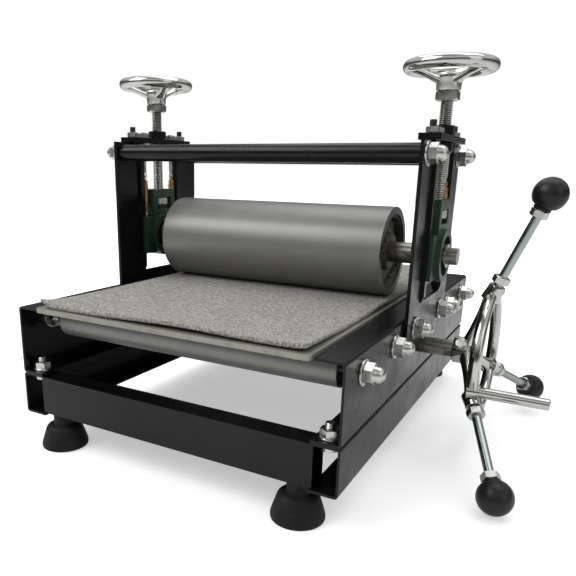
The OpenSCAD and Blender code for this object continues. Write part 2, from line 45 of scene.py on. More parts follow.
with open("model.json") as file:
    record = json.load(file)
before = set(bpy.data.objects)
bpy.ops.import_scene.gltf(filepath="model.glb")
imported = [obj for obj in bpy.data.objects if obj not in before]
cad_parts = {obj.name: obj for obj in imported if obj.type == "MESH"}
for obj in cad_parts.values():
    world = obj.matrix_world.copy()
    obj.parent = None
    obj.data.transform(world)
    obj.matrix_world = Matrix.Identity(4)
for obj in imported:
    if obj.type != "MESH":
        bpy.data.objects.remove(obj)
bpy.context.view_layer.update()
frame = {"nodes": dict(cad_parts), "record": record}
nodes = frame["nodes"]


# ---------------------------------------------------------------- materials


class Look:
    """A procedural material with one Principled shader, in the object's own coordinates."""

    def __init__(self, name, rough=0.5, metal=0.0, **sockets):
        self.mat = bpy.data.materials.new(name)
        self.mat.use_nodes = True
        self.tree = self.mat.node_tree
        self.shader = self.tree.nodes["Principled BSDF"]
        self.set("Roughness", rough)
        self.set("Metallic", metal)
        for socket, value in sockets.items():
            self.set(socket.replace("_", " "), value)
        self.coords = self.node("ShaderNodeTexCoord").outputs["Object"]

    def node(self, kind, inputs=(), **settings):
        made = self.tree.nodes.new(kind)
        for key, value in settings.items():
            setattr(made, key, value)
        for key, value in dict(inputs).items():
            self.put(made.inputs[key], value)
        return made

    def put(self, socket, value):
        if isinstance(value, bpy.types.NodeSocket):
            self.tree.links.new(value, socket)
        else:
            socket.default_value = value

    def set(self, socket, value):
        self.put(self.shader.inputs[socket], value)

    def stretched(self, scale):
        """The coordinates scaled by a factor for each axis."""
        return self.node(
            "ShaderNodeMapping", {"Vector": self.coords, "Scale": scale}
        ).outputs["Vector"]

    def noise(self, scale, detail=3.0, rough=0.5, where=None, warp=0.0):
        return self.node(
            "ShaderNodeTexNoise",
            {
                "Vector": where or self.coords,
                "Scale": scale,
                "Detail": detail,
                "Roughness": rough,
                "Distortion": warp,
            },
        ).outputs["Fac"]

    def ramp(self, value, low, high, out=(0.0, 1.0)):
        """value from low to high becomes out[0] to out[1]."""
        return self.node(
            "ShaderNodeMapRange",
            {
                "Value": value,
                "From Min": low,
                "From Max": high,
                "To Min": out[0],
                "To Max": out[1],
            },
            interpolation_type="SMOOTHSTEP",
        ).outputs["Result"]

    def mix(self, factor, a, b):
        made = self.node("ShaderNodeMix", data_type="RGBA")
        self.put(made.inputs["Factor"], factor)
        for socket, value in ((made.inputs[6], a), (made.inputs[7], b)):
            self.put(socket, (*value, 1.0) if isinstance(value, tuple) else value)
        return made.outputs[2]

    def math(self, operation, a, b):
        return self.node(
            "ShaderNodeMath", {0: a, 1: b}, operation=operation
        ).outputs[0]

    def height(self, value, distance, strength=1.0):
        """Bump from value, with its full height in metres."""
        before = self.shader.inputs["Normal"]
        bump = self.node(
            "ShaderNodeBump",
            {"Height": value, "Distance": distance, "Strength": strength},
        )
        if before.is_linked:
            self.put(bump.inputs["Normal"], before.links[0].from_socket)
        self.put(before, bump.outputs["Normal"])

    def edge(self, radius):
        """Rounds the highlight of sharp edges."""
        bevel = self.node("ShaderNodeBevel", {"Radius": radius}, samples=4)
        self.set("Normal", bevel.outputs["Normal"])

    def worn_edges(self, radius):
        """1 along edges, broken up by noise, 0 on flat faces."""
        bevel = self.node("ShaderNodeBevel", {"Radius": radius}, samples=4)
        flat = self.node("ShaderNodeNewGeometry").outputs["Normal"]
        dot = self.node(
            "ShaderNodeVectorMath",
            {0: bevel.outputs["Normal"], 1: flat},
            operation="DOT_PRODUCT",
        ).outputs["Value"]
        near = self.ramp(dot, 0.97, 0.80)
        return self.math("MULTIPLY", near, self.ramp(self.noise(260.0), 0.60, 0.72))


def paint():
    look = Look("black_gloss_paint", Specular_IOR_Level=0.24)
    look.edge(0.0006)
    dust = look.ramp(look.noise(900.0, 4.0, 0.7), 0.66, 0.82)
    haze = look.ramp(look.noise(14.0, 4.0), 0.35, 0.75)
    base = look.mix(haze, (0.0035, 0.0035, 0.004), (0.008, 0.008, 0.0083))
    base = look.mix(look.math("MULTIPLY", dust, 0.5), base, (0.09, 0.085, 0.078))
    base = look.mix(look.worn_edges(0.0007), base, (0.17, 0.165, 0.16))
    look.set("Base Color", base)
    look.set("Roughness", look.ramp(look.noise(24.0, 5.0, 0.6), 0.3, 0.75, (0.16, 0.34)))
    look.height(look.noise(420.0, 2.0), 0.00003, 0.35)
    look.height(look.noise(60.0, 2.0), 0.00012, 0.25)
    return look.mat


def roller_steel():
    """Ground steel with fine rings round the X axis and faint marks along it."""
    base, rough = (0.235, 0.235, 0.228), 0.40
    look = Look("ground_roller_steel", metal=0.55, Specular_IOR_Level=0.5)
    look.edge(0.0005)
    rings = look.noise(1.0, 3.0, 0.6, look.stretched((2600.0, 6.0, 6.0)))
    streaks = look.noise(1.0, 4.0, 0.6, look.stretched((5.0, 190.0, 190.0)))
    stains = look.ramp(look.noise(26.0, 5.0, 0.6, warp=0.4), 0.42, 0.80)
    color = look.mix(rings, tuple(c * 0.88 for c in base), tuple(c * 1.10 for c in base))
    color = look.mix(look.math("MULTIPLY", streaks, 0.35), color, tuple(c * 0.72 for c in base))
    color = look.mix(look.math("MULTIPLY", stains, 0.35), color, (0.17, 0.155, 0.135))
    specks = look.ramp(look.noise(620.0, 3.0, 0.6), 0.70, 0.78)
    color = look.mix(look.math("MULTIPLY", specks, 0.6), color, (0.06, 0.055, 0.05))
    look.set("Base Color", color)
    look.set("Roughness", look.ramp(rings, 0.2, 0.8, (rough - 0.05, rough + 0.08)))
    look.height(rings, 0.00002, 0.30)
    look.height(look.noise(160.0, 3.0), 0.00003, 0.35)
    return look.mat


def bare_steel():
    """Turned shaft steel with rust-brown patches of old oil."""
    look = Look("oiled_shaft_steel", metal=0.85)
    look.edge(0.0005)
    rings = look.noise(1.0, 3.0, 0.6, look.stretched((2200.0, 8.0, 8.0)))
    patch = look.ramp(look.noise(52.0, 4.0, 0.55, warp=0.8), 0.52, 0.62)
    color = look.mix(rings, (0.20, 0.19, 0.175), (0.36, 0.34, 0.315))
    color = look.mix(look.math("MULTIPLY", patch, 0.75), color, (0.10, 0.072, 0.048))
    look.set("Base Color", color)
    look.set("Roughness", look.ramp(patch, 0.0, 1.0, (0.30, 0.52)))
    look.height(rings, 0.00003, 0.35)
    look.height(look.noise(220.0, 3.0), 0.00005, 0.3)
    return look.mat


def zinc():
    look = Look("zinc_plate", metal=1.0)
    look.edge(0.0004)
    clouds = look.noise(90.0, 4.0, 0.6)
    color = look.mix(clouds, (0.42, 0.43, 0.40), (0.60, 0.61, 0.58))
    stain = look.ramp(look.noise(240.0, 4.0, 0.6), 0.58, 0.80)
    color = look.mix(look.math("MULTIPLY", stain, 0.5), color, (0.26, 0.245, 0.20))
    look.set("Base Color", color)
    look.set("Roughness", look.ramp(clouds, 0.25, 0.75, (0.17, 0.34)))
    look.height(look.noise(700.0, 3.0, 0.6), 0.00004, 0.35)
    return look.mat


def threaded_zinc(centre_x, offset, root, crest):
    """Zinc on a thread, with painted shade: near black in its roots, bright on its crests. The two
    spindles stand offset to each side.
    """
    look = Look("zinc_thread_shaded_roots", metal=1.0)
    place = look.node("ShaderNodeSeparateXYZ", {"Vector": look.coords})
    across = look.math("SUBTRACT", place.outputs["X"], centre_x)
    across = look.math("SUBTRACT", look.math("ABSOLUTE", across, 0.0), offset)
    depth = place.outputs["Y"]
    square = look.math("ADD", look.math("MULTIPLY", across, across), look.math("MULTIPLY", depth, depth))
    flank = look.ramp(look.math("POWER", square, 0.5), root, crest)
    clouds = look.noise(90.0, 3.0, 0.6)
    bright = look.mix(clouds, (0.40, 0.40, 0.375), (0.56, 0.56, 0.53))
    # Painted shade: the colour runs from near black at the thread's roots to bright zinc at its crests.
    look.set("Base Color", look.mix(flank, (0.035, 0.033, 0.028), bright))
    look.set("Roughness", look.ramp(clouds, 0.25, 0.75, (0.26, 0.40)))
    return look.mat


def rod_zinc():
    """Blue-passivated bright bar, drawn lengthwise."""
    look = Look("bright_rod_zinc", metal=1.0)
    clouds = look.noise(60.0, 4.0, 0.6)
    color = look.mix(clouds, (0.26, 0.30, 0.28), (0.40, 0.445, 0.42))
    look.set("Base Color", color)
    look.set("Roughness", look.ramp(clouds, 0.25, 0.75, (0.16, 0.30)))
    look.height(look.noise(500.0, 3.0, 0.6), 0.00003, 0.3)
    return look.mat


def chrome():
    look = Look("polished_chrome", metal=1.0)
    look.set("Base Color", look.mix(look.noise(30.0, 3.0), (0.44, 0.44, 0.42), (0.56, 0.56, 0.54)))
    smudge = look.noise(38.0, 5.0, 0.65, warp=0.6)
    look.set("Roughness", look.ramp(smudge, 0.35, 0.8, (0.06, 0.18)))
    look.height(look.noise(75.0, 3.0, 0.5), 0.00012, 0.30)
    look.height(look.noise(900.0, 2.0), 0.00001, 0.3)
    return look.mat


def felt_wool():
    look = Look("grey_wool_felt", rough=0.95, Sheen_Weight=0.35, Specular_IOR_Level=0.15)
    look.set("Sheen Roughness", 0.5)
    look.set("Sheen Tint", (0.9, 0.88, 0.84, 1.0))
    tufts = look.noise(330.0, 5.0, 0.72, warp=1.2)
    fibres = look.noise(1.0, 4.0, 0.7, look.stretched((1500.0, 520.0, 900.0)), warp=1.5)
    crossing = look.noise(1.0, 4.0, 0.7, look.stretched((480.0, 1400.0, 900.0)), warp=1.5)
    clouds = look.noise(22.0, 4.0, 0.55)
    grain = look.noise(430.0, 2.0, 0.55)
    color = look.mix(look.ramp(grain, 0.40, 0.62), (0.10, 0.096, 0.086), (0.45, 0.435, 0.395))
    color = look.mix(look.math("MULTIPLY", look.ramp(tufts, 0.40, 0.62), 0.35), color, (0.30, 0.29, 0.262))
    color = look.mix(look.ramp(fibres, 0.56, 0.70), color, (0.66, 0.645, 0.60))
    color = look.mix(look.ramp(crossing, 0.58, 0.72), color, (0.045, 0.042, 0.038))
    color = look.mix(look.math("MULTIPLY", look.ramp(clouds, 0.3, 0.7), 0.25), color, (0.26, 0.25, 0.22))
    look.set("Base Color", color)
    look.height(tufts, 0.0011, 0.55)
    look.height(fibres, 0.0005, 0.5)
    look.height(crossing, 0.0005, 0.5)
    return look.mat


def bed_metal():
    """Oiled plate steel, grey with a green cast and faint rolling marks along Y."""
    look = Look("rolled_bed_steel", metal=0.35, Specular_IOR_Level=0.5)
    look.edge(0.0005)
    rolled = look.noise(1.0, 4.0, 0.6, look.stretched((260.0, 4.0, 40.0)))
    clouds = look.noise(30.0, 5.0, 0.6)
    color = look.mix(rolled, (0.235, 0.232, 0.195), (0.36, 0.355, 0.305))
    color = look.mix(look.ramp(clouds, 0.45, 0.8), color, (0.185, 0.178, 0.145))
    look.set("Base Color", color)
    look.set("Roughness", look.ramp(clouds, 0.3, 0.7, (0.34, 0.50)))
    look.height(rolled, 0.00003, 0.4)
    return look.mat


def cast_green():
    look = Look("green_cast_iron_paint", Specular_IOR_Level=0.3)
    look.edge(0.0013)
    grain = look.noise(520.0, 4.0, 0.6)
    color = look.mix(look.noise(45.0, 4.0), (0.010, 0.030, 0.019), (0.022, 0.062, 0.040))
    grease = look.ramp(look.noise(110.0, 5.0, 0.65, warp=0.5), 0.58, 0.76)
    color = look.mix(look.math("MULTIPLY", grease, 0.8), color, (0.014, 0.013, 0.011))
    look.set("Base Color", color)
    look.set("Roughness", look.ramp(grain, 0.3, 0.7, (0.28, 0.46)))
    look.height(grain, 0.00016, 0.55)
    look.height(look.noise(120.0, 3.0), 0.0003, 0.4)
    return look.mat


def spring_brass():
    look = Look("copper_washed_spring", metal=0.9)
    tone = look.noise(320.0, 3.0, 0.6)
    look.set("Base Color", look.mix(tone, (0.30, 0.165, 0.062), (0.56, 0.36, 0.155)))
    look.set("Roughness", look.ramp(tone, 0.3, 0.7, (0.28, 0.42)))
    look.height(look.noise(2200.0, 2.0), 0.00002, 0.4)
    return look.mat


def dark_metal():
    """Blackened or greasy dark steel."""
    look = Look("dark_blued_steel", metal=0.4, Specular_IOR_Level=0.5)
    look.edge(0.0004)
    clouds = look.noise(70.0, 5.0, 0.6)
    color = look.mix(clouds, (0.016, 0.015, 0.014), (0.052, 0.050, 0.046))
    look.set("Base Color", color)
    look.set("Roughness", look.ramp(clouds, 0.3, 0.75, (0.30, 0.55)))
    look.height(look.noise(420.0, 4.0, 0.6), 0.00008, 0.4)
    return look.mat


def rough_disc():
    """Sawn end plate, dark with grease and scuffed lighter in patches."""
    look = Look("greasy_end_plate", metal=0.5, Specular_IOR_Level=0.5)
    look.edge(0.0005)
    scuff = look.noise(150.0, 6.0, 0.72, warp=1.0)
    color = look.mix(look.ramp(scuff, 0.35, 0.72), (0.045, 0.043, 0.037), (0.27, 0.258, 0.23))
    look.set("Base Color", color)
    look.set("Roughness", look.ramp(scuff, 0.3, 0.7, (0.42, 0.62)))
    look.height(scuff, 0.0003, 0.5)
    return look.mat


def bearing_metal():
    look = Look("ground_bearing_steel", metal=1.0)
    look.edge(0.0003)
    tone = look.noise(130.0, 4.0, 0.6)
    color = look.mix(tone, (0.25, 0.235, 0.215), (0.48, 0.455, 0.425))
    look.set("Base Color", color)
    look.set("Roughness", look.ramp(tone, 0.3, 0.7, (0.22, 0.40)))
    look.height(look.noise(1.0, 2.0, 0.5, look.stretched((2600.0, 9.0, 9.0))), 0.00002, 0.4)
    return look.mat


def rubber():
    look = Look("moulded_black_rubber", Specular_IOR_Level=0.25)
    dust = look.ramp(look.noise(180.0, 5.0, 0.7), 0.5, 0.85)
    color = look.mix(look.math("MULTIPLY", dust, 0.5), (0.007, 0.007, 0.007), (0.045, 0.043, 0.040))
    look.set("Base Color", color)
    look.set("Roughness", look.ramp(look.noise(40.0, 4.0), 0.3, 0.7, (0.50, 0.72)))
    look.height(look.noise(800.0, 4.0, 0.7), 0.00009, 0.6)
    return look.mat


def ball_plastic():
    look = Look("black_ball_plastic", Specular_IOR_Level=0.28)
    tone = look.noise(60.0, 4.0, 0.6)
    look.set("Base Color", look.mix(tone, (0.005, 0.005, 0.0055), (0.016, 0.016, 0.017)))
    look.set("Roughness", look.ramp(tone, 0.3, 0.7, (0.30, 0.44)))
    look.height(look.noise(650.0, 3.0, 0.6), 0.00005, 0.4)
    return look.mat


LOOKS = {
    "black_paint": paint(),
    "roller_steel": roller_steel(),
    "shaft_steel": bare_steel(),
    "bed_steel": bed_metal(),
    "felt_wool": felt_wool(),
    "zinc": zinc(),
    "chrome": chrome(),
    "bearing_steel": bearing_metal(),
    "dark_steel": dark_metal(),
    "cast_green": cast_green(),
    "spring_brass": spring_brass(),
    "rubber": rubber(),
    "ball_plastic": ball_plastic(),
}
NODE_LOOKS = {"top_roller_ends": rough_disc(), "lever_rods": rod_zinc()}
SLOT_OF = {s["node"]: s["material_slot"] for s in frame["record"]["subparts"]}


def look_of(node):
    return NODE_LOOKS.get(node) or LOOKS[SLOT_OF[node]]


for name, obj in nodes.items():
    obj.data.materials.clear()
    obj.data.materials.append(look_of(name))


# ---------------------------------------------------------------- mesh helpers


class Solid:
    """Vertices and faces of one piece, gathered from lofted parts."""

    def __init__(self):
        self.verts = []
        self.faces = []

    def loft(self, rings, place=Matrix(), caps=(True, True), closed=False):
        """Joins rings of equal length into a skin, with a face over each end that has a cap."""
        start, n = len(self.verts), len(rings[0])
        self.verts += [place @ Vector(p) for ring in rings for p in ring]
        for i in range(len(rings) - (0 if closed else 1)):
            a, b = start + i * n, start + ((i + 1) % len(rings)) * n
            for k in range(n):
                self.faces.append((a + k, a + (k + 1) % n, b + (k + 1) % n, b + k))
        if caps[0] and not closed:
            self.faces.append(tuple(start + k for k in reversed(range(n))))
        if caps[1] and not closed:
            self.faces.append(tuple(start + (len(rings) - 1) * n + k for k in range(n)))

    def lathe(self, profile, place=Matrix(), n=48, closed=False):
        """Turns (radius, height) points round Z."""
        turn = [(math.cos(t), math.sin(t)) for t in np.linspace(0, 2 * math.pi, n, endpoint=False)]
        self.loft([[(r * c, r * s, z) for c, s in turn] for r, z in profile], place, closed=closed)

    def tube(self, path, radius, place=Matrix(), n=10, closed=False):
        """A round bar along the points of path."""
        pts = [Vector(p) for p in path]
        rings, side = [], None
        for i, p in enumerate(pts):
            after = pts[(i + 1) % len(pts)] if closed or i + 1 < len(pts) else p
            before = pts[i - 1] if closed or i else p
            along = (after - before).normalized()
            if side is None:
                side = along.orthogonal().normalized()
            side = (side - along * side.dot(along)).normalized()
            up = along.cross(side)
            turns = np.linspace(0, 2 * math.pi, n, endpoint=False)
            rings.append([p + radius * (math.cos(t) * side + math.sin(t) * up) for t in turns])
        self.loft(rings, place, closed=closed)

    def piece(self, name, body, slot, look=None, smooth=0.6):
        mesh = bpy.data.meshes.new(name)
        mesh.from_pydata([tuple(v) for v in self.verts], [], self.faces)
        mesh.materials.append(look or LOOKS[slot])
        obj = bpy.data.objects.new(name, mesh)
        bpy.context.scene.collection.objects.link(obj)
        tidy_normals(obj)
        shade(obj, smooth)
        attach(obj, body)
        return obj


def tidy_normals(obj):
    work = bmesh.new()
    work.from_mesh(obj.data)
    bmesh.ops.recalc_face_normals(work, faces=work.faces)
    work.to_mesh(obj.data)
    work.free()


def shade(obj, angle):
    """Smooth shading, with edges sharper than angle (radians) kept sharp."""
    obj.data.shade_smooth()
    obj.data.set_sharp_from_angle(angle=angle)


def frame_at(point, z_axis, x_axis=None):
    """A placing matrix whose Z points along z_axis."""
    z = Vector(z_axis).normalized()
    x = Vector(x_axis or ((0, 0, 1) if abs(z.x) > 0.9 else (1, 0, 0)))
    x = (x - z * x.dot(z)).normalized()
    y = z.cross(x)
    return Matrix.Translation(Vector(point)) @ Matrix((x, y, z)).transposed().to_4x4()


def islands(node):
    """The lowest and highest corners of each separate solid of a CAD node, in order of X, Y and Z."""
    work = bmesh.new()
    work.from_mesh(nodes[node].data)
    bmesh.ops.remove_doubles(work, verts=work.verts, dist=1e-6)
    found, seen = [], set()
    for v in work.verts:
        if v in seen:
            continue
        stack, part = [v], []
        seen.add(v)
        while stack:
            a = stack.pop()
            part.append(a.co.copy())
            for e in a.link_edges:
                b = e.other_vert(a)
                if b not in seen:
                    seen.add(b)
                    stack.append(b)
        co = np.array(part)
        found.append((Vector(co.min(0)), Vector(co.max(0))))
    work.free()
    return sorted(found, key=lambda b: tuple(round(c, 4) for c in b[0]))


def hex_radius(angle, across_flats):
    """Distance to a hexagon's edge, whose corners are at 0, 60, ... degrees."""
    a = (angle % (math.pi / 3)) - math.pi / 6
    return across_flats / 2 / math.cos(a)


def nut_rings(af, low, high, bore, chamfer=(True, True), n=48):
    """Rings of a hexagon nut along Z whose corners are cut by a 30 degree cone at each end."""
    turns = np.linspace(0, 2 * math.pi, n, endpoint=False)
    land = 0.47 * af

    def ring(r_of, z_of):
        out = []
        for t in turns:
            r = r_of(t)
            out.append((r * math.cos(t), r * math.sin(t), z_of(r)))
        return out

    def edge(z, way, cut):
        return ring(
            lambda t: hex_radius(t, af),
            lambda r: z - way * (max(0.0, r - land) * math.tan(math.radians(30)) if cut else 0),
        )

    rings = [ring(lambda t: bore, lambda r: low)]
    rings.append(ring(lambda t: land, lambda r: low))
    rings.append(edge(low, -1, chamfer[0]))
    rings.append(edge(high, 1, chamfer[1]))
    rings.append(ring(lambda t: land, lambda r: high))
    rings.append(ring(lambda t: bore, lambda r: high))
    return rings


def thread_rings(radius, pitch, length, n=28, steps=6, tip=0.8 * MM):
    """Rings of a threaded bar along Z, with a chamfered tip."""
    count = max(4, int(length / pitch * steps))
    depth = 0.54 * pitch
    turns = np.linspace(0, 2 * math.pi, n, endpoint=False)
    rings = []
    for i in range(count + 1):
        z = length * i / count
        near = min(z, length - z)
        out = []
        for t in turns:
            phase = (z / pitch - t / (2 * math.pi)) % 1
            cut = depth * (1 - abs(2 * phase - 1)) ** 1.3
            r = min(radius - cut, radius - tip + near)
            out.append((r * math.cos(t), r * math.sin(t), z))
        rings.append(out)
    return rings


def stands_for(piece, *names):
    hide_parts(*names)
    return piece


def circle(radius, n, height=0.0):
    turns = np.linspace(0, 2 * math.pi, n, endpoint=False)
    return [(radius * math.cos(t), radius * math.sin(t), height) for t in turns]


def spoke_rings(start, end, across, thick, flare_in, flare_out, steps=12, n=20):
    """Oval rings from start to end. across is the wide side's direction; both ends widen into fillets."""
    start, end, across = Vector(start), Vector(end), Vector(across).normalized()
    along = (end - start).normalized()
    other = along.cross(across).normalized()
    rings = []
    for k in range(steps + 1):
        t = k / steps
        wide = thick[0] + flare_in * (1 - t) ** 4 + flare_out * t ** 5
        deep = thick[1] + 0.4 * flare_in * (1 - t) ** 4 + 0.6 * flare_out * t ** 5
        centre = start.lerp(end, t)
        turns = np.linspace(0, 2 * math.pi, n, endpoint=False)
        rings.append([centre + wide * math.cos(a) * across + deep * math.sin(a) * other for a in turns])
    return rings


# ---------------------------------------------------------------- wheels, levers and feet

low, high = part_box("cross_member_front")
MID = (low + high) / 2
SPOKES = (90, 210, 330)
HAND_RIM_R = 6.8 * MM

for side in ("left", "right"):
    low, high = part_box("handwheel_" + side)
    big_r = (high.x - low.x) / 2 - HAND_RIM_R
    rim_z, x = high.z - HAND_RIM_R, (low.x + high.x) / 2
    wheel = Solid()
    wheel.tube(circle(big_r, 96), HAND_RIM_R, Matrix.Translation((x, 0, rim_z)), 24, closed=True)
    b = low.z
    hub = [(7.1, 0.4), (12.2, 0.0), (12.9, 0.4), (13.1, 1.2), (13.4, 6.0), (14.4, 12.0), (15.0, 15.0),
           (14.6, 17.0), (13.4, 18.0), (9.0, 18.0), (8.0, 17.2), (7.1, 17.0)]
    wheel.lathe([(r * MM, z * MM) for r, z in hub], Matrix.Translation((x, 0, b)), 64)
    for a in SPOKES:
        a = math.radians(a)
        out = Vector((math.cos(a), math.sin(a), 0))
        start = Vector((x, 0, b + 10 * MM)) + out * 9 * MM
        end = Vector((x, 0, rim_z - 1.5 * MM)) + out * (big_r - 1 * MM)
        wheel.loft(spoke_rings(start, end, (-out.y, out.x, 0), (5.6 * MM, 3.2 * MM), 3.5 * MM, 6.0 * MM))
    wheel = wheel.piece("handwheel_shown_" + side, "screw_" + side, "chrome", smooth=0.7)
    stands_for(wheel, "handwheel_" + side)

low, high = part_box("star_wheel")
shaft_low, shaft_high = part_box("drive_shaft")
AXIS = Vector((0, 0, (shaft_low.z + shaft_high.z) / 2))
STAR_R, STAR_RIM = 69.4 * MM, 6.6 * MM
# The rim's plane stands this far outside the hub's inner face.
STAR_DISH = 35.5 * MM
hub_x = low.x
star_x = hub_x + STAR_DISH
# The rods lean outwards from the wheel's plane.
LEAN = math.radians(21.3)
# From a rod's rim end, in mm: the rod's middle, the ball's centre, and the inner ends of its two nuts.
ROD_MIDDLE, BALL_OUT, NUTS_OUT = 59, 123.5, (17.0, 97.6)
NUT_H, BALL_R = 8.4, 18 * MM
RODS = []
for rod_low, rod_high in islands("lever_rods"):
    middle = (rod_low + rod_high) / 2
    spread = math.atan2(middle.y, middle.z - AXIS.z)
    radial = Vector((0, math.sin(spread), math.cos(spread)))
    RODS.append((middle, radial, Vector((math.sin(LEAN), 0, 0)) + radial * math.cos(LEAN)))

star = Solid()
star_place = frame_at((star_x, 0, AXIS.z), (1, 0, 0), (0, 0, 1))
star.tube(circle(STAR_R, 120), STAR_RIM, star_place, 28, closed=True)
hub = [(10.1, 0.5), (14.6, 0.0), (15.6, 0.6), (16.0, 1.8), (16.0, 12.0), (16.6, 15.5), (16.0, 17.6),
       (14.6, 18.5), (11.2, 18.5), (10.1, 18.0)]
star.lathe([(r * MM, z * MM) for r, z in hub], frame_at((hub_x, 0, AXIS.z), (1, 0, 0), (0, 0, 1)), 64)
for middle, radial, out in RODS:
    start = Vector((hub_x + 16 * MM, 0, AXIS.z)) + radial * 11 * MM
    end = Vector((star_x - 1.5 * MM, 0, AXIS.z)) + radial * (STAR_R - 1 * MM)
    across = radial.cross(Vector((1, 0, 0)))
    star.loft(spoke_rings(start, end, across, (6.6 * MM, 5.4 * MM), 5.0 * MM, 4.0 * MM))
    rim_point = middle - out * ROD_MIDDLE * MM
    boss = [(10.9, -4.0), (10.4, 2.0), (9.6, 6.0), (9.4, 12.4), (9.0, 13.6), (8.2, 14.0), (5.05, 14.0)]
    star.lathe([(r * MM, z * MM) for r, z in boss], frame_at(rim_point, out), 40)
    outer = (Vector((1, 0, 0)) - out * out.x).normalized()
    star.lathe([(2.9 * MM, 8.6 * MM), (2.9 * MM, 9.7 * MM), (2.3 * MM, 10.1 * MM), (0.01 * MM, 10.2 * MM)],
               frame_at(rim_point + out * 9.5 * MM, outer, out), 24)
crank_low, crank_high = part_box("crank_handle")
crank_at = (crank_low + crank_high) / 2
boss = [(9.6, -3.0), (8.9, 3.0), (8.2, 6.0), (8.1, 8.6), (7.6, 9.3), (6.2, 9.5)]
star.lathe([(r * MM, z * MM) for r, z in boss],
           frame_at((star_x - 2 * MM, crank_at.y, crank_at.z), (1, 0, 0), (0, 0, 1)), 40)
star = star.piece("star_wheel_shown", "drive", "chrome", smooth=0.7)
stands_for(star, "star_wheel")

handle = Solid()
end = (crank_high.x - crank_low.x) / MM
bar = [(6.25, 0.0), (6.25, end - 1.6), (5.9, end - 0.7), (5.0, end), (0.01, end)]
handle_place = frame_at((crank_low.x, crank_at.y, crank_at.z), (1, 0, 0))
handle.lathe([(r * MM, z * MM) for r, z in bar], handle_place, 48)
handle = handle.piece("crank_handle_shown", "drive", "chrome", smooth=0.5)
stands_for(handle, "crank_handle")

rods = Solid()
rod_nuts = Solid()
knobs = Solid()
for middle, radial, out in RODS:
    rim_point = middle - out * ROD_MIDDLE * MM
    place = frame_at(rim_point, out)
    bar = [(4.5, 4.0), (5.0, 4.8), (5.0, 113.4), (4.5, 114.0)]
    rods.lathe([(r * MM, z * MM) for r, z in bar], place, 40)
    for z in NUTS_OUT:
        rod_nuts.loft(nut_rings(ACROSS_FLATS["m10"], z * MM, (z + NUT_H) * MM, 5 * MM), place)
    ball = rim_point + out * BALL_OUT * MM
    profile = [(5.2, -17.3), (8.6, -17.3), (9.4, -16.9), (9.6, -15.4), (9.0, -14.9), (9.4, -14.3),
               (10.6, -13.6), (11.0, -12.9)]
    profile = [(r * MM, z * MM) for r, z in profile]
    for k in range(26):
        a = math.radians(-45 + 135 * k / 25)
        ridge = 0.22 * MM * math.exp(-((math.degrees(a) - 6) / 2.0) ** 2)
        profile.append((max((BALL_R + ridge) * math.cos(a), 0.01 * MM), (BALL_R + ridge) * math.sin(a)))
    knobs.lathe(profile, frame_at(ball, out), 64)
rods = rods.piece("lever_rods_shown", "drive", "zinc", NODE_LOOKS["lever_rods"], 0.5)
rods = stands_for(rods, "lever_rods")
rod_nuts = stands_for(rod_nuts.piece("lever_nuts_shown", "drive", "zinc", smooth=0.5), "lever_nuts")
knobs = stands_for(knobs.piece("lever_knobs_shown", "drive", "ball_plastic", smooth=0.7), "lever_knobs")

clamp = Solid()
bolt_low, bolt_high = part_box("hub_bolt")
turn = math.radians(53)
bolt_out = Vector((0, -math.sin(turn), math.cos(turn)))
bolt_place = frame_at(Vector(((bolt_low.x + bolt_high.x) / 2, 0, AXIS.z)), bolt_out)
clamp.loft(nut_rings(ACROSS_FLATS["m8"], 16.4 * MM, 21.7 * MM, 1 * MM, (False, True)), bolt_place)
clamp.lathe([(4 * MM, 10.3 * MM), (4 * MM, 16.6 * MM)], bolt_place, 24)
clamp.lathe([(6.1 * MM, 21.3 * MM), (6.0 * MM, 22.1 * MM), (5.2 * MM, 22.6 * MM), (0.01 * MM, 22.7 * MM)],
            bolt_place, 32)
clamp = stands_for(clamp.piece("hub_bolt_shown", "drive", "zinc", smooth=0.5), "hub_bolt")

feet = Solid()
for low, high in islands("rubber_feet"):
    r = (high.x - low.x) / 2 / MM
    profile = [(4.0, 0.6), (r - 9, 0.6), (r - 7, 0.0), (r - 1.4, 0.0), (r - 0.3, 0.6), (r, 1.8), (r, 4.2),
               (r - 0.5, 6.2), (r - 3.4, 15.5), (r - 5.4, 21.4), (r - 6.5, 24.2), (r - 8.6, 26.2),
               (r - 11.5, 27.2), (r - 14.6, 27.7), (r - 15.0, 28.4), (r - 15.0, 40.4), (5.1, 40.4)]
    place = Matrix.Translation(((low.x + high.x) / 2, (low.y + high.y) / 2, low.z))
    feet.lathe([(a * MM, z * MM) for a, z in profile], place, 64)
feet = stands_for(feet.piece("rubber_feet_shown", "frame", "rubber", smooth=0.7), "rubber_feet")


# ---------------------------------------------------------------- fasteners


def side_of(low, high):
    """+1 on the right of the frame's middle, -1 on the left."""
    return 1 if (low.x + high.x) / 2 > MID.x else -1


domed = Solid()
for low, high in islands("acorn_nuts"):
    way = side_of(low, high)
    centre = (low + high) / 2
    start = low.x if way > 0 else high.x
    place = frame_at((start, centre.y, centre.z), (way, 0, 0), (0, 0, 1))
    hex_h = 9 * MM
    domed.loft(nut_rings(ACROSS_FLATS["m12"], 0.0, hex_h, 6 * MM, (True, False)), place)
    dome_r, dome_z = 8.3 * MM, hex_h + 2 * MM
    dome = [(8.9 * MM, hex_h - 0.3 * MM), (8.5 * MM, hex_h + 0.5 * MM), (dome_r, dome_z)]
    for k in range(1, 9):
        a = math.pi / 2 * k / 9
        dome.append((dome_r * math.cos(a), dome_z + dome_r * math.sin(a)))
    domed.lathe(dome, place, 36)
domed = domed.piece("acorn_nuts_shown", "frame", "zinc", smooth=0.5)
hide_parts("acorn_nuts")

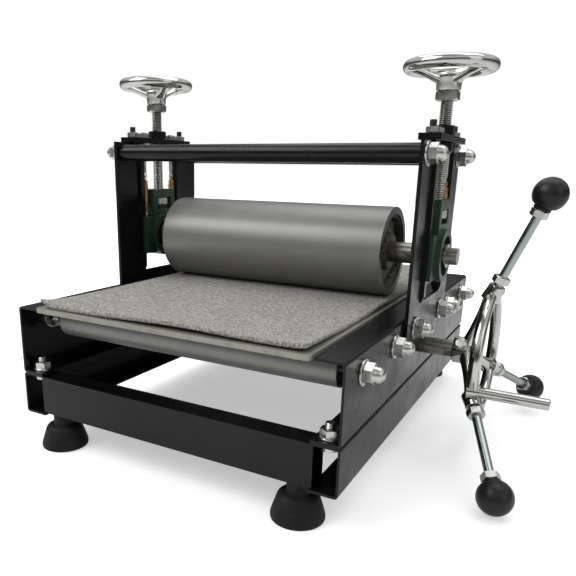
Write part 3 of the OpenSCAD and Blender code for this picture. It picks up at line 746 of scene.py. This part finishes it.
discs = Solid()
for low, high in islands("washers"):
    centre = (low + high) / 2
    half = (high.x - low.x) / 2
    r = (high.z - low.z) / 2
    e = 0.45 * MM
    place = frame_at(centre, (1, 0, 0))
    discs.lathe(
        [(6.4 * MM, -half), (r - e, -half), (r - e * 0.3, -half + e * 0.3), (r, -half + e), (r, half - e),
         (r - e * 0.3, half - e * 0.3), (r - e, half), (6.4 * MM, half), (6.4 * MM, -half)],
        place, 40)
discs = discs.piece("washers_shown", "frame", "zinc", smooth=0.5)
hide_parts("washers")

small_nuts = Solid()
for low, high in islands("cap_stud_nuts"):
    centre = (low + high) / 2
    small_nuts.loft(
        nut_rings(ACROSS_FLATS["m8"], 0, high.z - low.z, 4 * MM),
        frame_at((centre.x, centre.y, low.z), (0, 0, 1), (0, 1, 0)))
small_nuts = small_nuts.piece("cap_stud_nuts_shown", "frame", "zinc", smooth=0.5)
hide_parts("cap_stud_nuts")

big_nuts = Solid()
for low, high in islands("spindle_nuts"):
    centre = (low + high) / 2
    big_nuts.loft(
        nut_rings(ACROSS_FLATS["m14"], 0, high.z - low.z, 7.1 * MM),
        frame_at((centre.x, centre.y, low.z), (0, 0, 1), (0, 1, 0)))
big_nuts = big_nuts.piece("spindle_nuts_shown", "frame", "black_paint", smooth=0.5)
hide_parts("spindle_nuts")

flange_nuts = Solid()
for low, high in islands("flange_nuts"):
    centre = (low + high) / 2
    place = frame_at((centre.x, centre.y, low.z), (0, 0, 1), (0, 1, 0))
    flange_nuts.lathe(
        [(5 * MM, 0), (10 * MM, 0), (10.2 * MM, 0.5 * MM), (9.8 * MM, 1.5 * MM), (8.4 * MM, 2.6 * MM),
         (5 * MM, 2.6 * MM)], place, 36)
    flange_nuts.loft(nut_rings(ACROSS_FLATS["m10"], 2 * MM, high.z - low.z, 5 * MM, (False, True)), place)
flange_nuts = flange_nuts.piece("flange_nuts_shown", "frame", "zinc", smooth=0.5)
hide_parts("flange_nuts")

bolts = Solid()
for low, high in islands("flange_bolts"):
    centre = (low + high) / 2
    place = frame_at((centre.x, centre.y, low.z), (0, 0, 1), (0, 1, 0))
    bolts.loft(nut_rings(ACROSS_FLATS["m10"], 0, 6.4 * MM, 1 * MM, (True, False)), place)
    bolts.loft(
        thread_rings(5 * MM, THREAD_PITCH["m10"], high.z - low.z - 6 * MM),
        frame_at((centre.x, centre.y, low.z + 6 * MM), (0, 0, 1)))
bolts = bolts.piece("flange_bolts_shown", "frame", "zinc", smooth=0.5)
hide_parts("flange_bolts")

studs = Solid()
for low, high in islands("cap_studs"):
    centre = (low + high) / 2
    studs.loft(
        thread_rings(4 * MM, THREAD_PITCH["m8"], high.z - low.z),
        frame_at((centre.x, centre.y, low.z), (0, 0, 1)))
studs = studs.piece("cap_studs_shown", "frame", "dark_steel", smooth=0.5)
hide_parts("cap_studs")

# The top of the slot that holds a screw's end nut, above the block's underside, and the play over the nut.
SLOT_TOP, SLOT_PLAY = 84 * MM, 0.3 * MM
low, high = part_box("spindle_right")
thread_look = threaded_zinc(MID.x, (low.x + high.x) / 2 - MID.x, 5.9 * MM, 6.85 * MM)
for side in ("left", "right"):
    low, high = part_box("spindle_" + side)
    x = (low.x + high.x) / 2
    spindle = Solid()
    spindle.loft(
        thread_rings(7 * MM, THREAD_PITCH["m14"], high.z - low.z, 32, 7),
        frame_at((x, 0, low.z), (0, 0, 1)))
    block_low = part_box("bearing_block_" + side)[0]
    top = block_low.z + SLOT_TOP - SLOT_PLAY
    spindle.loft(
        nut_rings(ACROSS_FLATS["m14"], 0, 10 * MM, 7 * MM),
        frame_at((x, 0, top - 10 * MM), (0, 0, 1), (0, 1, 0)))
    spindle = spindle.piece("spindle_shown_" + side, "screw_" + side, "zinc", thread_look, 0.5)
    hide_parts("spindle_" + side)
    low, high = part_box("jam_nut_" + side)
    jam = Solid()
    jam.loft(
        nut_rings(high.x - low.x, 0, high.z - low.z, 7 * MM),
        frame_at((x, 0, low.z), (0, 0, 1), (0, 1, 0)))
    jam = jam.piece("jam_nut_shown_" + side, "screw_" + side, "zinc", smooth=0.5)
    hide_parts("jam_nut_" + side)


# ---------------------------------------------------------------- return springs

low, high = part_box("return_springs")
springs = Solid()
wire, hook, coil_r = 0.75 * MM, 2.6 * MM, 3.7 * MM
hook_h = 7.6 * MM
hook_turn, hook_steps = 1.45, 13
turns, per_turn = 17, 18
for low, high in islands("return_springs"):
    if high.z - low.z < 20 * MM:
        continue
    centre = (low + high) / 2
    coil_low, coil_high = low.z + hook_h - 2 * wire, high.z - hook_h + 2 * wire
    path = []
    for k in range(hook_steps + 1):
        a = math.pi * (hook_turn - hook_turn * k / hook_steps) - math.pi / 2
        path.append((hook * math.cos(a), 0, low.z + 0.9 * MM + hook + hook * math.sin(a)))
    for k in range(turns * per_turn + 1):
        a = 2 * math.pi * k / per_turn
        ease = min(1.0, k / 10, (turns * per_turn - k) / 10)
        r = hook * 0.5 + (coil_r - hook * 0.5) * ease
        z = coil_low + (coil_high - coil_low) * k / (turns * per_turn)
        path.append((r * math.cos(a), r * math.sin(a), z))
    for k in range(hook_steps + 1):
        a = math.pi * hook_turn * k / hook_steps
        path.append((hook * math.cos(a), 0, high.z - 0.9 * MM - hook + hook * math.sin(a)))
    springs.tube(path, wire, Matrix.Translation((centre.x, centre.y, 0)), 8)
springs = springs.piece("return_springs_shown", "frame", "spring_brass", smooth=1.2)
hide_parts("return_springs")
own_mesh(springs)


# ---------------------------------------------------------------- welds on the uprights

# (height, length) of each short bead along a guide rail, in metres.
WELD_BEADS = ((0.199, 0.010), (0.268, 0.012), (0.331, 0.010))
welds = Solid()
for side in (1, -1):
    for y in (-1, 1):
        for z, length in WELD_BEADS:
            for k in range(5):
                t = (k - 2) / 2
                x = MID.x + side * (200 * MM - 0.4 * MM)
                centre = Vector((x, y * 46.6 * MM, z + t * length / 2))
                size = 2.1 * MM * (1 - 0.25 * abs(t))
                blob = [(size * math.cos(a), size * math.sin(a)) for a in np.linspace(-1.5, 1.5, 7)]
                welds.lathe([(max(r, 0.02 * MM), h * 0.8) for r, h in blob],
                            frame_at(centre, (0.5 * -side, 0.25 * y, 0.8)), 12)
welds.piece("rail_welds", "frame", "black_paint", smooth=1.2)


# ---------------------------------------------------------------- felt blanket

low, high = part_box("felt_blanket")
felt_mid = (low + high) / 2
half_w, half_l, thick = (high.x - low.x) / 2, (high.y - low.y) / 2, high.z - low.z
COLS, ROWS = 110, 180


def felt_lift(x, y):
    """How far the felt stands off the bed at x, y from its middle: it curls up along its free edges."""
    u, v = x / half_w, (y + half_l)
    front = math.exp(-v / 0.022)
    along = 0.5 + 0.5 * math.tanh((u + 0.42) * 5)
    corner = math.exp(-((u + 1) ** 2) / 0.004) * 1.6
    wave = 0.75 + 0.25 * math.sin(5.2 * u + 0.8)
    lift = 3.8 * MM * front * (along * wave + corner)
    right = math.exp(-(half_w - x) / 0.006) * (0.5 + 0.5 * math.sin(v * 34.0 + 0.6)) * math.exp(-v / 0.35)
    lift += 2.4 * MM * right
    back = math.exp(-(half_l - y) / 0.020) * (0.5 + 0.5 * math.sin(3.1 * u))
    return lift + 1.4 * MM * back


def felt_point(i, j, top):
    u, v = 2 * i / COLS - 1, 2 * j / ROWS - 1
    x, y = u * half_w, v * half_l
    edge = Vector((x * 9, y * 9, 0.3))
    x += 0.9 * MM * noise.noise(edge * 14 + Vector((0, 0, 3))) * abs(u) ** 8
    y += 0.9 * MM * noise.noise(edge * 14 + Vector((0, 0, 9))) * abs(v) ** 8
    lift = felt_lift(x, y)
    nap = 0.16 * MM * noise.noise(Vector((x * 420, y * 420, top * 5)))
    border = min(half_w - abs(u) * half_w, half_l - abs(v) * half_l)
    soft = 0.9 * MM * math.exp(-border / (1.2 * MM))
    z = lift + (thick - soft - 0.16 * MM + nap if top else soft * 0.4)
    return (felt_mid.x + x, felt_mid.y + y, low.z + z)


felt = Solid()
for top in (1, 0):
    felt.verts += [Vector(felt_point(i, j, top)) for j in range(ROWS + 1) for i in range(COLS + 1)]
sheet_size = (COLS + 1) * (ROWS + 1)


def at(i, j, top):
    return (0 if top else sheet_size) + j * (COLS + 1) + i


for j in range(ROWS):
    for i in range(COLS):
        felt.faces.append((at(i, j, 1), at(i + 1, j, 1), at(i + 1, j + 1, 1), at(i, j + 1, 1)))
        felt.faces.append((at(i, j, 0), at(i, j + 1, 0), at(i + 1, j + 1, 0), at(i + 1, j, 0)))
border = [(i, 0) for i in range(COLS)] + [(COLS, j) for j in range(ROWS)]
border += [(i, ROWS) for i in range(COLS, 0, -1)] + [(0, j) for j in range(ROWS, 0, -1)]
middle_start = len(felt.verts)
centre = Vector((felt_mid.x, felt_mid.y, 0))
for i, j in border:
    a, b = felt.verts[at(i, j, 1)], felt.verts[at(i, j, 0)]
    out = (a - centre)
    out = Vector((out.x if i in (0, COLS) else 0, out.y if j in (0, ROWS) else 0, 0)).normalized()
    bulge = 0.5 * MM + 0.35 * MM * noise.noise(Vector((a.x * 300, a.y * 300, 2)))
    felt.verts.append((a + b) / 2 + out * bulge)
for k, (i, j) in enumerate(border):
    m, n = border[(k + 1) % len(border)]
    p, q = middle_start + k, middle_start + (k + 1) % len(border)
    felt.faces.append((at(i, j, 1), p, q, at(m, n, 1)))
    felt.faces.append((p, at(i, j, 0), at(m, n, 0), q))
felt = felt.piece("felt_blanket_shown", "bed", "felt_wool", smooth=1.6)
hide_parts("felt_blanket")


# ---------------------------------------------------------------- floor, light and camera


def floor():
    mesh = bpy.data.meshes.new("floor")
    corners = [(-6, -6, 0), (6, -6, 0), (6, 6, 0), (-6, 6, 0)]
    mesh.from_pydata(corners, [], [(0, 1, 2, 3)])
    obj = bpy.data.objects.new("floor", mesh)
    bpy.context.scene.collection.objects.link(obj)
    look = Look("pale_floor", rough=0.85, Specular_IOR_Level=0.1)
    look.set("Base Color", look.mix(look.noise(3.0), (0.86, 0.86, 0.86), (0.90, 0.90, 0.90)))
    # Painted light: the floor glows. Camera rays see 0.45 near the middle, rising to 1.0 further out, and
    # other rays see 0.10. This lifts the floor's shadows and lights the press from below.
    look.set("Emission Color", (1, 1, 1, 1))
    flat = look.node("ShaderNodeVectorMath", operation="MULTIPLY")
    look.put(flat.inputs[0], look.node("ShaderNodeNewGeometry").outputs["Position"])
    flat.inputs[1].default_value = (1, 1, 0)
    reach = look.node("ShaderNodeVectorMath", operation="LENGTH")
    look.put(reach.inputs[0], flat.outputs[0])
    away = look.node("ShaderNodeMapRange")
    look.put(away.inputs["Value"], reach.outputs["Value"])
    for key, value in (("From Min", 0.45), ("From Max", 1.1), ("To Min", 0.45), ("To Max", 1.0)):
        away.inputs[key].default_value = value
    seen = look.node("ShaderNodeLightPath").outputs["Is Camera Ray"]
    glow = look.node("ShaderNodeMix", {"Factor": seen})
    look.put(glow.inputs[2], 0.10)
    look.put(glow.inputs[3], away.outputs["Result"])
    look.put(look.shader.inputs["Emission Strength"], glow.outputs[0])
    mesh.materials.append(look.mat)


def area_light(name, location, target, size, power):
    data = bpy.data.lights.new(name, "AREA")
    data.shape = "RECTANGLE"
    data.size, data.size_y = size
    data.energy = power
    obj = bpy.data.objects.new(name, data)
    obj.location = location
    obj.rotation_euler = (Vector(target) - Vector(location)).to_track_quat("-Z", "Y").to_euler()
    bpy.context.scene.collection.objects.link(obj)


# (upward part of the direction, brightness): 0 is the horizon and 1 is straight up.
STUDIO_BANDS = [(0.0, 0.30), (0.08, 0.05), (0.28, 0.08), (0.46, 0.80), (0.66, 0.85), (0.90, 0.30)]
floor()
world = bpy.data.worlds.new("studio")
world.use_nodes = True
background = world.node_tree.nodes["Background"]
background.inputs["Color"].default_value = (1, 1, 1, 1)
tree = world.node_tree
split = tree.nodes.new("ShaderNodeSeparateXYZ")
tree.links.new(tree.nodes.new("ShaderNodeTexCoord").outputs["Generated"], split.inputs[0])
bands = tree.nodes.new("ShaderNodeValToRGB")
bands.color_ramp.interpolation = "B_SPLINE"
while len(bands.color_ramp.elements) < len(STUDIO_BANDS):
    bands.color_ramp.elements.new(0.5)
for stop, (upward, level) in zip(bands.color_ramp.elements, STUDIO_BANDS):
    stop.position, stop.color = upward, (level, level, level, 1)
tree.links.new(split.outputs["Z"], bands.inputs[0])
lit = tree.nodes.new("ShaderNodeMix")
lit.data_type = "RGBA"
tree.links.new(tree.nodes.new("ShaderNodeLightPath").outputs["Is Camera Ray"], lit.inputs[0])
tree.links.new(bands.outputs["Color"], lit.inputs[6])
lit.inputs[7].default_value = (1, 1, 1, 1)
tree.links.new(lit.outputs[2], background.inputs["Color"])
bpy.context.scene.world = world
area_light("key", (-1.2, -1.3, 1.9), (0, 0, 0.2), (1.6, 1.6), 30)
area_light("top", (0.1, 0.4, 1.9), (0, 0, 0.2), (2.2, 1.2), 17)
area_light("right_fill", (1.9, -0.6, 0.9), (0.1, 0, 0.15), (1.0, 1.4), 3.5)

CAMERA_AT = (0.36297 + MID.x, -0.73274, 0.32355)
YAW, PITCH, ROLL = 0.516, -0.276, 0.016
camera_data = bpy.data.cameras.new("camera")
camera_data.sensor_width = 36.0
camera_data.lens = 37.63
camera_data.shift_x = 0.0765
camera_data.shift_y = 0.0911
camera = bpy.data.objects.new("camera", camera_data)
camera.matrix_world = (
    Matrix.Translation(CAMERA_AT)
    @ Matrix.Rotation(YAW, 4, "Z")
    @ Matrix.Rotation(math.pi / 2 + PITCH, 4, "X")
    @ Matrix.Rotation(ROLL, 4, "Z")
)
bpy.context.scene.collection.objects.link(camera)
bpy.context.scene.camera = camera
bpy.context.scene.view_settings.view_transform = "Standard"
